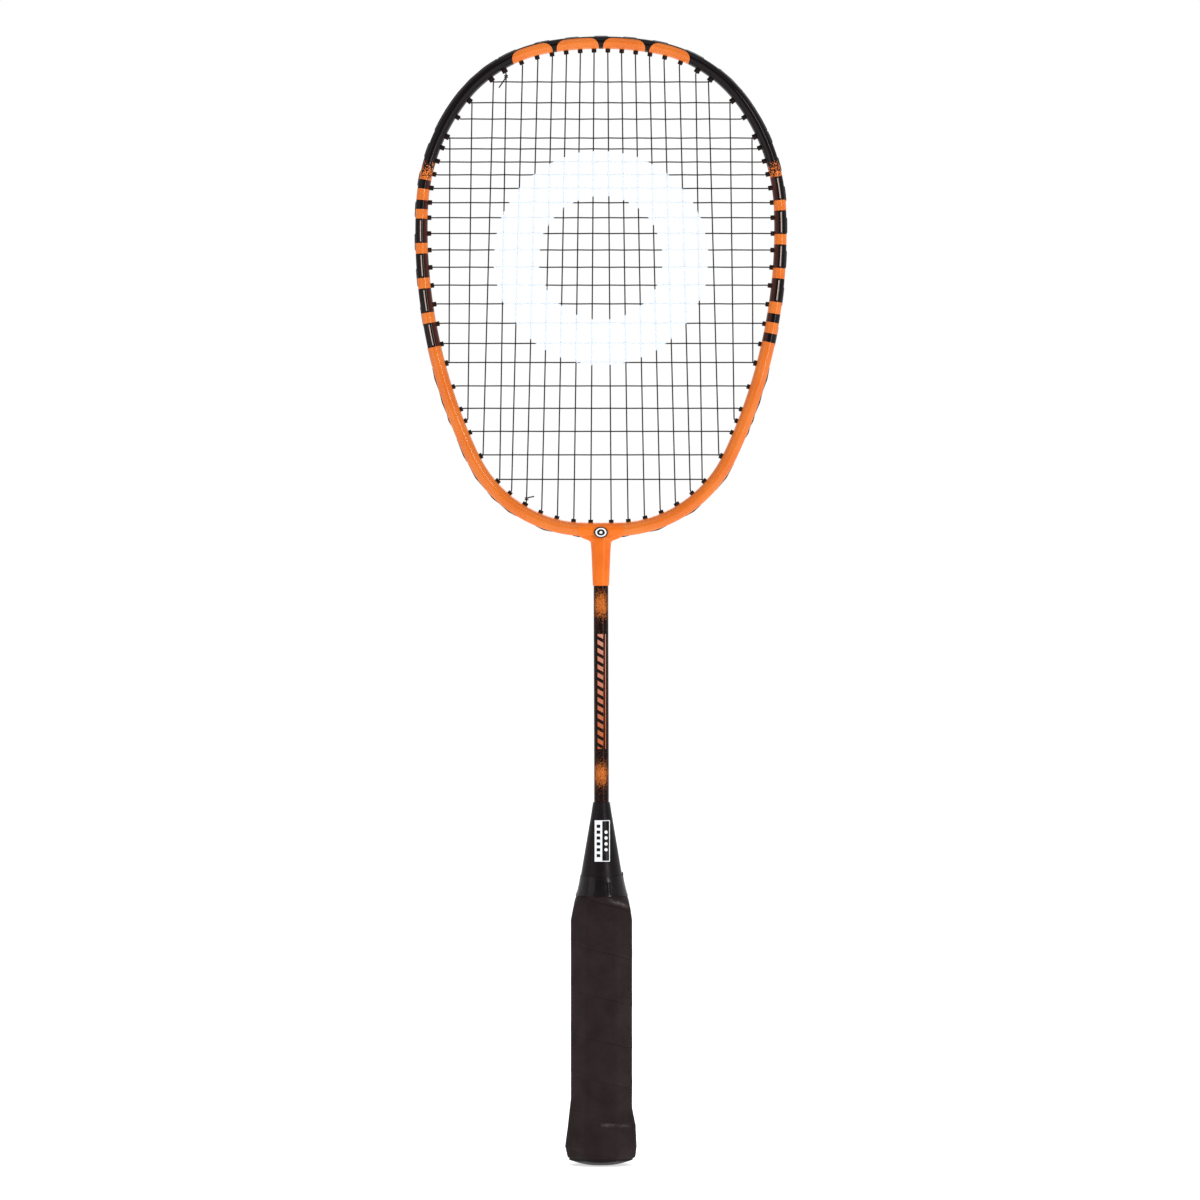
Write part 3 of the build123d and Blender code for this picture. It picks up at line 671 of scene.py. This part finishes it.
def shaft_paint():
    finish = Finish("shaft_paint", Coat_Weight=0.06, Coat_Roughness=0.12, Specular_IOR_Level=0.05)
    x, y, z = finish.axes()
    around = finish.product(finish.math("ARCTAN2", x, finish.product(y, -1.0)), shaft_radius)
    zones = []
    for middle, half in speckled_zones:
        off = finish.math("ABSOLUTE", finish.math("SUBTRACT", z, middle))
        zones.append(finish.rise(off, 0.0, half, 1.0, 0.0))
    zone = finish.either(*zones)
    grain = finish.rise(finish.noise(0.45, 3.0, 0.75, (1.5, 1, 0.9)), 0.3, 0.7, 0.05, 1.0)
    front = finish.rise(finish.math("ABSOLUTE", x), 1.6, 3.9, 1.0, 0.35)
    speckle = finish.rise(finish.math("SUBTRACT", finish.product(zone, front, 0.80), grain), -0.25, 0.25)
    flecks = finish.mix(finish.noise(1.7, 2.0), (0.66, 0.20, 0.030), (0.36, 0.060, 0.010))

    lettering = finish.inside(z, (dashes_bottom + dashes_top) / 2, (dashes_top - dashes_bottom) / 2)
    lean = finish.math("ADD", z, finish.product(around, 0.55))
    turns = finish.math("FRACT", finish.math("DIVIDE", lean, dash_pitch))
    dash = finish.product(finish.inside(turns, 0.5, 0.27, 0.04), finish.inside(around, -0.35, 1.55))
    line = finish.inside(around, 2.55, 0.26)
    print_mask = finish.product(lettering, finish.either(dash, line))
    ink = finish.mix(finish.rise(z, dashes_bottom, dashes_top), (0.42, 0.105, 0.035), (0.50, 0.20, 0.13))

    ground = finish.mix(finish.noise(8.0, 3.0), (0.0030, 0.0010, 0.0012), (0.0075, 0.0025, 0.0022))
    painted = finish.mix(speckle, ground, flecks)
    finish.colour(finish.mix(print_mask, painted, ink))
    finish.roughness(finish.rise(finish.noise(7.0, 4.0), 0.2, 0.8, 0.28, 0.40))
    finish.bump(finish.noise(5.0, 2.0), 0.02)
    return finish


def shaft_rings():
    """Up the outside and down the bore."""
    steps = 64
    heights = [lerp(shaft_bottom, shaft_top, i / steps) for i in range(steps + 1)]
    outside = [oval(shaft_radius, shaft_radius, z) for z in heights]
    bore = [oval(shaft_bore_radius, shaft_bore_radius, z) for z in reversed(heights)]
    return outside + bore


shaft = skin("shaft_tube", shaft_rings(), closed=True)
stand_for(shaft, "shaft_paint", "shaft")
shaft_paint().put_on(shaft)


# ---------------------------------------------------------------- cone cap
cone_top = 192.7
cone_bottom = 134.0
cone_top_radius = 4.40
cone_half_width = 14.35         # at its lower end
cone_half_depth = 13.1
cone_wall = 1.6
cone_roof = 172.0               # top of the space inside the cone
cone_rim = 0.75                 # rounding of the upper edge


def cone_size(z, grow=0.0):
    """Half width and half depth of the cone at a height."""
    share = (cone_top - z) / (cone_top - cone_bottom)
    half_width = lerp(cone_top_radius, cone_half_width, share)
    half_depth = lerp(cone_top_radius, cone_half_depth, share)
    return (half_width + grow, half_depth + grow)


def cone_rings():
    """Up the outside with a rounded rim, and down the space inside."""
    steps = 30
    shoulder = cone_top - cone_rim
    hole = shaft_radius + 0.05
    sections = []
    for i in range(steps + 1):
        z = lerp(cone_bottom, shoulder, i / steps)
        sections.append((*cone_size(z), z))
    for turn in (30, 60, 90):
        inward = cone_rim * (1 - cos(turn)) * 0.5
        sections.append((*cone_size(shoulder, -inward), shoulder + cone_rim * sin(turn)))
    sections += [(hole, hole, cone_top), (hole, hole, cone_roof)]
    sections += [(*cone_size(z, -cone_wall), z) for z in (cone_roof, cone_bottom)]
    return [oval(*section, 96) for section in sections]


def cone_plastic():
    finish = Finish("cone_plastic", Specular_IOR_Level=0.12)
    finish.colour(finish.mix(finish.noise(7.0, 4.0), (0.0050, 0.0030, 0.0035), (0.0085, 0.0055, 0.0062)))
    scuffs = finish.rise(finish.noise(1.8, 4.0, 0.6, (1, 1, 7)), 0.52, 0.70)
    rough = finish.product(scuffs, 0.10)
    finish.roughness(finish.math("ADD", rough, finish.rise(finish.noise(12.0), 0.2, 0.8, 0.30, 0.42)))
    finish.bump(finish.noise(2.4, 3.0), 0.02)
    return finish


cone = skin("cone_shell", cone_rings(), closed=True)
stand_for(cone, "cone_plastic", "cone_cap")
cone_plastic().put_on(cone)


# ---------------------------------------------------------------- cone label
def label_print():
    """White on the left and black on the right, with plain dashes and dots in place of words."""
    finish = Finish("label", Specular_IOR_Level=0.12)
    x, _, z = finish.axes()
    low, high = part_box("cone_label")
    middle_x = (low.x + high.x) / 2 / MM
    half_x = (high.x - low.x) / 2 / MM
    middle_z = (low.z + high.z) / 2 / MM
    half_z = (high.z - low.z) / 2 / MM
    border = 0.4
    pitch = 3.1                 # of the dashes and dots
    left = finish.rise(finish.math("SUBTRACT", x, middle_x), -0.05, 0.05, 1.0, 0.0)
    field = finish.inside(x, middle_x, half_x - border)
    field = finish.product(field, finish.inside(z, middle_z, half_z - border))
    black_field = finish.product(field, finish.math("SUBTRACT", 1.0, left))
    turns = finish.math("FRACT", finish.math("DIVIDE", finish.math("SUBTRACT", z, middle_z), pitch))
    dash = finish.product(finish.inside(z, middle_z, 3 * pitch), finish.inside(turns, 0.5, 0.27, 0.05))
    dash = finish.product(dash, finish.inside(x, middle_x - half_x / 2, 0.95))
    dot_x = finish.math("SUBTRACT", x, middle_x + half_x / 2)
    dot_z = finish.product(finish.math("SUBTRACT", turns, 0.5), pitch)
    reach = finish.distance(dot_x, dot_z)
    dot = finish.product(finish.inside(z, middle_z, 2 * pitch), finish.rise(reach, 0.80, 0.92, 1.0, 0.0))
    black = finish.either(finish.math("SUBTRACT", black_field, dot), dash)
    paper = finish.mix(finish.noise(3.0), white_ink, (0.72, 0.74, 0.77))
    finish.colour(finish.mix(black, paper, black_paint))
    finish.roughness(finish.rise(finish.noise(5.0), 0.2, 0.8, 0.25, 0.4))
    return finish


def label_rings():
    """Rows across the foil from its lower edge up, each along its face and back inside the cone."""
    low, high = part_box("cone_label")
    columns = 24
    rows = 30
    in_front = Vector((0, -0.12, 0))
    behind = Vector((0, 0.2, 0))
    rings = []
    for i in range(rows + 1):
        z = lerp(low.z, high.z, i / rows) / MM
        half_width, half_depth = cone_size(z)
        face = []
        for j in range(columns + 1):
            x = lerp(low.x, high.x, j / columns) / MM
            share = (x - axis_x(z)) / half_width
            face.append(Vector((x, -half_depth * math.sqrt(1 - share ** 2), z)))
        rings.append([point + in_front for point in face] + [point + behind for point in reversed(face)])
    return rings


label = skin("label_foil", label_rings())
stand_for(label, "label", "cone_label")
label_print().put_on(label)


# ---------------------------------------------------------------- grip
bevel_share = 0.26
grip_bottom = 3.7
grip_top = 146.5
# (height, half width, how far its middle is to the right) of the wrap, from the top down.
grip_sections = (
    (grip_top, 12.3, 0.6),      # the narrow end, under the tape
    (140.0, 14.3, 0.4),
    (130.0, 16.1, 0.3),         # full width, down to the flare
    (35.0, 16.1, 0.3),
    (30.0, 16.4, 0.0),
    (20.0, 17.9, 0.4),
    (10.0, 18.8, 0.0),          # the widest place of the flare
    (grip_bottom, 17.7, 0.3),
)
grip_depth_less = 1.0           # than its width, on each side of the middle
grip_points = 220               # around the grip
grip_wall = 0.9                 # thickness of the wrap
grip_spacing = 0.5              # between its rings
seam_start = 133.4              # height of the first seam on the right
seam_pitch = 26.2               # seam n is n * seam_pitch - n ** 2 * seam_closing below the first
seam_closing = 0.7
middle_pitch = seam_pitch - 3   # about what it is halfway down
grip_rounding = 3.0             # of the eight corners
inner_rounding = 1.5
turns_oval = (136.0, 143.0)     # between these heights, on the way up
grip_rise = 0.22                # of the wrap's middle level above its sections
flare_crease = 20.8             # height of the fold where the butt flares


def section_at(sections, z):
    """Half width and the place of the middle at a height, between the two sections around it."""
    for (top, *upper), (low, *lower) in zip(sections, sections[1:]):
        if z >= low:
            break
    share = (top - z) / (top - low)
    return [lerp(a, b, share) for a, b in zip(upper, lower)]


def handle_outline(half_width, middle, rounding, oval_share):
    """The eight-sided section, from the middle of its front round by the right, or an oval where
    oval_share is 1."""
    back = half_width - grip_depth_less
    bevel = bevel_share * 2 * half_width
    side = [(half_width - bevel, -back), (half_width, bevel - back)]
    side += [(x, -y) for x, y in reversed(side)]
    corners = side + [(-x, y) for x, y in reversed(side)]
    outline = evenly([Vector((0.0, -back)), *round_corners(corners, rounding, 6)], grip_points)
    placed = []
    for point in outline:
        on_oval = point / math.hypot(point.x / half_width, point.y / back)
        placed.append(lerp(point, on_oval, oval_share) + Vector((middle, 0.0)))
    return placed


def turns_down(z):
    """The number of seams passed on the way down the right side to a height."""
    root = seam_pitch ** 2 - 4 * seam_closing * (seam_start - z)
    return (seam_pitch - math.sqrt(root)) / (2 * seam_closing)


def wrap_height(around, z):
    """How far the wrap stands out, in millimetres. around goes from 0 at the front through 0.25 on
    the right to 1. Each turn's lower edge lies over the turn below it."""
    phase = turns_down(z) - (around - 0.25)
    above = (math.ceil(phase) - phase) * middle_pitch       # millimetres above the seam below
    below = (phase - math.floor(phase)) * middle_pitch      # and below the one above
    strength = 1 + 1.2 * smooth(134.0, 136.0, z - 6 * (0.25 - around))      # most at the first seam
    strength *= 0.65 + 0.35 * sin(360 * around)                             # and on the right
    lap = 0.24 * strength * smooth(0.0, 0.5, above) * (1 - smooth(3.0, 9.0, above))
    pinch = -0.14 * strength * (1 - smooth(0.0, 1.4, below))
    roll = 0.07 * (1 - smooth(0.5, 2.6, abs(above - 1.4)))
    spot = Vector((20 * cos(360 * around), 20 * sin(360 * around), z))
    stretch = 0.12 * noise.noise(spot / 9) + 0.06 * noise.noise(spot / 3.1 + Vector((7, 3, 1)))
    pulls = 0.10 * noise.noise(Vector((spot.x / 16, spot.y / 16, (z + 26 * around) / 2.2)))
    pulls *= 1 - smooth(3.0, 12.0, above)
    fold = 0.22 * bell(z - flare_crease, 1.1) * smooth(-0.1, 0.25, sin(360 * around))
    sides = 1 - 0.85 * abs(sin(360 * around)) ** 4      # the relief is low on both sides
    return (lap + pinch + roll + stretch + fold + pulls) * sides


def crease_highlight_share(around, z):
    """How much a crease gets a painted highlight, a pale colour in place of its sheen: one over the
    first seam and one where the butt flares.
    """
    above = -(turns_down(z) - around + 0.25) * middle_pitch
    upper = bell(above - 1.8, 0.8) * smooth(0.02, 0.09, around) * (1 - smooth(0.15, 0.21, around))
    lower = bell(z - 22.2 + 6 * around, 0.75) * smooth(-0.03, 0.03, around)
    lower *= 1 - smooth(0.10, 0.17, around)
    return max(upper, 0.8 * lower)


def grip_rings():
    """Up the outside of the wrap, then down its inner face."""
    steps = round((grip_top - grip_bottom) / grip_spacing)
    edge = 1.2                  # rounding of the lower edge
    rings = []
    values = {"above": [], "crease_highlight": []}
    for i in range(steps + 1):
        z = lerp(grip_bottom, grip_top, i / steps)
        outline = handle_outline(*section_at(grip_sections, z), grip_rounding, smooth(*turns_oval, z))
        tuck = 0.0
        if z < grip_bottom + edge:
            tuck = edge - math.sqrt(max(0.0, edge ** 2 - (grip_bottom + edge - z) ** 2))
        ring = []
        for j, point in enumerate(outline):
            around = j / grip_points
            relief = wrap_height(around, z) * smooth(grip_bottom, grip_bottom + 3, z)
            height = relief + grip_rise - tuck
            ring.append((*(point + point.normalized() * height), z))
            phase = turns_down(z) - (around - 0.25)
            values["above"].append(math.ceil(phase) - phase)
            values["crease_highlight"].append(crease_highlight_share(around, z))
        rings.append(ring)
    inner_steps = 8
    for i in reversed(range(inner_steps + 1)):
        z = lerp(grip_bottom, grip_top, i / inner_steps)
        half_width, middle = section_at(grip_sections, z)
        inner = handle_outline(half_width - grip_wall, middle, inner_rounding, smooth(*turns_oval, z))
        rings.append([(*point, z) for point in inner])
        values["above"] += [0.5] * grip_points
        values["crease_highlight"] += [0.0] * grip_points
    return rings, values


def grip_polyurethane():
    finish = Finish("grip", Specular_IOR_Level=0.06, Sheen_Weight=0.04, Sheen_Roughness=0.4)
    finish.shader.inputs["Sheen Tint"].default_value = (0.75, 0.68, 0.70, 1.0)
    above = finish.attribute("above")
    dark = (0.0140, 0.0085, 0.0090)
    worn = (0.0215, 0.0138, 0.0145)
    ground = finish.mix(finish.rise(finish.noise(14.0, 4.0), 0.3, 0.7), dark, worn)
    x, _, _ = finish.axes()
    # Painted shade: a dark line under the edge of each turn, stronger towards the right.
    seam_shade = finish.product(finish.rise(above, 0.955, 0.995), finish.rise(x, -10.0, 6.0, 0.3, 1.0))
    # Painted highlight: a pale colour along the two creases, standing in for their sheen.
    crease_highlight = finish.product(finish.attribute("crease_highlight"), finish.rise(finish.noise(3.0, 3.0), 0.25, 0.6))
    ground = finish.mix(crease_highlight, ground, (0.085, 0.070, 0.073))
    finish.colour(finish.mix(finish.product(seam_shade, 0.7), ground, (0.004, 0.0025, 0.0025)))
    grain = finish.noise(0.42, 4.0, 0.6)
    pores = finish.rise(finish.cells(0.9), 0.08, 0.30)
    finish.roughness(finish.rise(finish.noise(5.0, 5.0), 0.25, 0.75, 0.50, 0.68))
    finish.bump(finish.math("ADD", finish.product(grain, 0.7), finish.product(pores, 0.3)), 0.055)
    return finish


rings, values = grip_rings()
grip = skin("grip_band", rings, closed=True, attributes=values, crease=75.0)
stand_for(grip, "grip", "grip_wrap")
grip_polyurethane().put_on(grip)

# ---------------------------------------------------------------- finishing tape
tape_bottom = 142.9
tape_wall = 0.3                 # thickness of the tape
tape_points = 180
# (height, half width, how far its middle is to the right) of the tape, from the top down.
tape_sections = (
    (156.0, 11.0, 0.3),
    (150.0, 12.1, 0.45),
    (146.0, 13.0, 0.5),
    (142.0, 14.4, 0.4),
)
tape_depth_less = 0.6           # than its width, on each side of the middle
fold_place = 0.046              # of the fold down the front, around from the middle
nub_place = 0.243               # of the corner that stands up at the tape's end


def tape_top(around):
    """The height of the tape's upper edge, lower at the front than at the back."""
    nub = 1.6 * (1 - smooth(0.004, 0.014, abs(around - nub_place)))
    return 153.9 - 0.9 * cos(360 * around) + nub


def tape_point(around, z, out):
    half_width, middle = section_at(tape_sections, z)
    across = (half_width + out) * sin(360 * around)
    return Vector((middle + across, -(half_width - tape_depth_less + out) * cos(360 * around), z))


def tape_relief(around, share):
    """How far the tape stands out, where share goes from 0 at its lower edge to 1 at its upper."""
    spot = Vector((12 * cos(360 * around), 12 * sin(360 * around), 17 * share))
    wrinkle = 0.05 * noise.noise(spot / 3.4) + 0.03 * noise.noise(spot / 1.3)
    fold = 0.24 * (1 - smooth(0.0, 0.012, abs(around - fold_place)))
    fold *= smooth(0.0, 0.2, share) * (1 - smooth(0.6, 0.8, share))
    edges = 0.10 * (smooth(0.93, 1.0, share) + 1 - smooth(0.0, 0.05, share))
    nub = 0.45 * (1 - smooth(0.004, 0.014, abs(around - nub_place))) * smooth(0.8, 1.0, share)
    return wrinkle + fold - edges + nub


def tape_rings():
    """Up the outside of the tape, then down its inner face."""
    steps = 44
    turns = [j / tape_points for j in range(tape_points)]

    def ring(share, relief):
        heights = [lerp(tape_bottom, tape_top(around), share) for around in turns]
        return [tape_point(around, z, relief(around, share)) for around, z in zip(turns, heights)]

    outside = [ring(i / steps, tape_relief) for i in range(steps + 1)]
    inside = [ring(share, lambda around, share: -tape_wall) for share in (1.0, 0.75, 0.5, 0.25, 0.0)]
    return outside + inside


def tape_vinyl():
    finish = Finish("tape", Coat_Weight=0.2, Coat_Roughness=0.10, Specular_IOR_Level=0.12)
    finish.colour(finish.mix(finish.noise(4.0), (0.0035, 0.002, 0.0025), (0.0065, 0.004, 0.005)))
    finish.roughness(finish.rise(finish.noise(2.5, 4.0), 0.3, 0.7, 0.24, 0.38))
    finish.bump(finish.noise(3.5, 3.0, 0.6, (1, 1, 0.6)), 0.06)
    return finish


tape = skin("tape_band", tape_rings(), closed=True, crease=60.0)
stand_for(tape, "tape", "finishing_tape")
tape_vinyl().put_on(tape)


# ---------------------------------------------------------------- strings
stencil_middle = 482.0          # height of the white ring that is printed on the strings
stencil_outer = 57.0
stencil_inner = 33.0


def string_nylon():
    """Dark grey multifilament, with a plain white ring printed across the bed."""
    finish = Finish("string", Specular_IOR_Level=0.1)
    x, _, z = finish.axes()
    off_z = finish.math("SUBTRACT", z, stencil_middle)
    reach = finish.distance(x, off_z)
    middle = (stencil_outer + stencil_inner) / 2
    ragged = finish.math("ADD", reach, finish.rise(finish.noise(1.2, 2.0), 0.2, 0.8, -0.5, 0.5))
    ring = finish.inside(ragged, middle, (stencil_outer - stencil_inner) / 2, 0.5)
    ring = finish.product(ring, finish.rise(finish.noise(0.5, 2.0), 0.2, 0.45, 0.9, 1.0))
    nylon = finish.mix(finish.noise(0.6, 2.0), (0.010, 0.008, 0.009), (0.022, 0.018, 0.020))
    finish.colour(finish.mix(ring, nylon, (0.66, 0.74, 0.88)))
    finish.roughness(finish.rise(finish.noise(0.8, 2.0), 0.2, 0.8, 0.30, 0.50))
    finish.bump(finish.noise(0.22, 2.0), 0.02)
    return finish


strings = string_nylon()
for name in ("main_strings", "cross_strings", "upper_knot", "lower_knot"):
    strings.put_on(nodes[name])


# ---------------------------------------------------------------- grommets and small parts
def moulded(name, dark, light, rough, depth, size):
    """Matte moulded plastic."""
    finish = Finish(name, Specular_IOR_Level=0.1)
    finish.colour(finish.mix(finish.noise(size * 4), dark, light))
    finish.roughness(finish.rise(finish.noise(size * 2, 4.0), 0.2, 0.8, rough - 0.08, rough + 0.08))
    finish.bump(finish.noise(size, 3.0), depth)
    return finish


grommet_nylon = moulded("grommet", (0.006, 0.0028, 0.0022), (0.016, 0.0075, 0.006), 0.45, 0.015, 0.5)
for name in nodes:
    if name.endswith("_grommets"):
        grommet_nylon.put_on(nodes[name])

butt_plastic = moulded("butt_plastic", (0.006, 0.004, 0.004), (0.012, 0.009, 0.009), 0.42, 0.04, 0.7)
butt_plastic.put_on(nodes["butt_cap"])


def badge_enamel():
    """A black badge with a plain white ring near its edge and a white dot in its middle."""
    finish = Finish("badge", Coat_Weight=0.3, Coat_Roughness=0.08, Specular_IOR_Level=0.1)
    x, _, z = finish.axes()
    low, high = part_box("t_joint_badge")
    across = finish.math("DIVIDE", x, high.x / MM)
    off_z = finish.math("SUBTRACT", z, (low.z + high.z) / 2 / MM)
    up = finish.math("DIVIDE", off_z, (high.z - low.z) / 2 / MM)
    reach = finish.distance(across, up)
    ring = finish.inside(reach, 0.68, 0.11, 0.05)
    mark = finish.either(ring, finish.rise(reach, 0.20, 0.26, 1.0, 0.0))
    enamel = finish.mix(finish.noise(2.0), black_paint, (0.02, 0.016, 0.016))
    finish.colour(finish.mix(mark, enamel, white_ink))
    finish.roughness(finish.rise(finish.noise(1.5, 3.0), 0.2, 0.8, 0.15, 0.3))
    finish.bump(finish.math("ADD", mark, finish.product(finish.noise(0.8), 0.2)), 0.02)
    return finish


badge_enamel().put_on(nodes["t_joint_badge"])


def basswood():
    finish = Finish("handle_wood", Specular_IOR_Level=0.3)
    grain = finish.rise(finish.noise(0.9, 5.0, 0.6, (1, 1, 30)), 0.3, 0.7)
    finish.colour(finish.mix(grain, (0.50, 0.33, 0.17), (0.36, 0.21, 0.10)))
    finish.roughness(finish.rise(grain, 0.0, 1.0, 0.55, 0.72))
    finish.bump(grain, 0.05)
    return finish


def plain_steel():
    finish = Finish("bare_steel", Metallic=1.0)
    drawn = finish.noise(0.4, 4.0, 0.6, (1, 1, 6))
    finish.colour(finish.mix(drawn, (0.50, 0.50, 0.50), (0.38, 0.38, 0.39)))
    finish.roughness(finish.rise(drawn, 0.2, 0.8, 0.28, 0.45))
    finish.bump(drawn, 0.01)
    return finish


basswood().put_on(nodes["handle_core"])
steel = plain_steel()
for name in ("shaft_pin", "cap_tacks", "grip_tack"):
    steel.put_on(nodes[name])


# ---------------------------------------------------------------- floor
def floor_sheet():
    """A pale seamless floor under the butt."""
    size = 6.0                  # from its middle to its edges, in metres
    corners = [(-size, -size, 0), (size, -size, 0), (size, size, 0), (-size, size, 0)]
    mesh = bpy.data.meshes.new("floor")
    mesh.from_pydata(corners, [], [(0, 1, 2, 3)])
    floor = bpy.data.objects.new("floor", mesh)
    bpy.context.scene.collection.objects.link(floor)
    floor.location.z = -0.0002
    finish = Finish("floor", Specular_IOR_Level=0.1)
    finish.colour(finish.mix(finish.noise(400.0), (0.90, 0.90, 0.90), (0.86, 0.86, 0.86)))
    finish.roughness(0.9)
    finish.shader.inputs["Emission Color"].default_value = (1, 1, 1, 1)
    finish.shader.inputs["Emission Strength"].default_value = 0.6
    finish.put_on(floor)


floor_sheet()
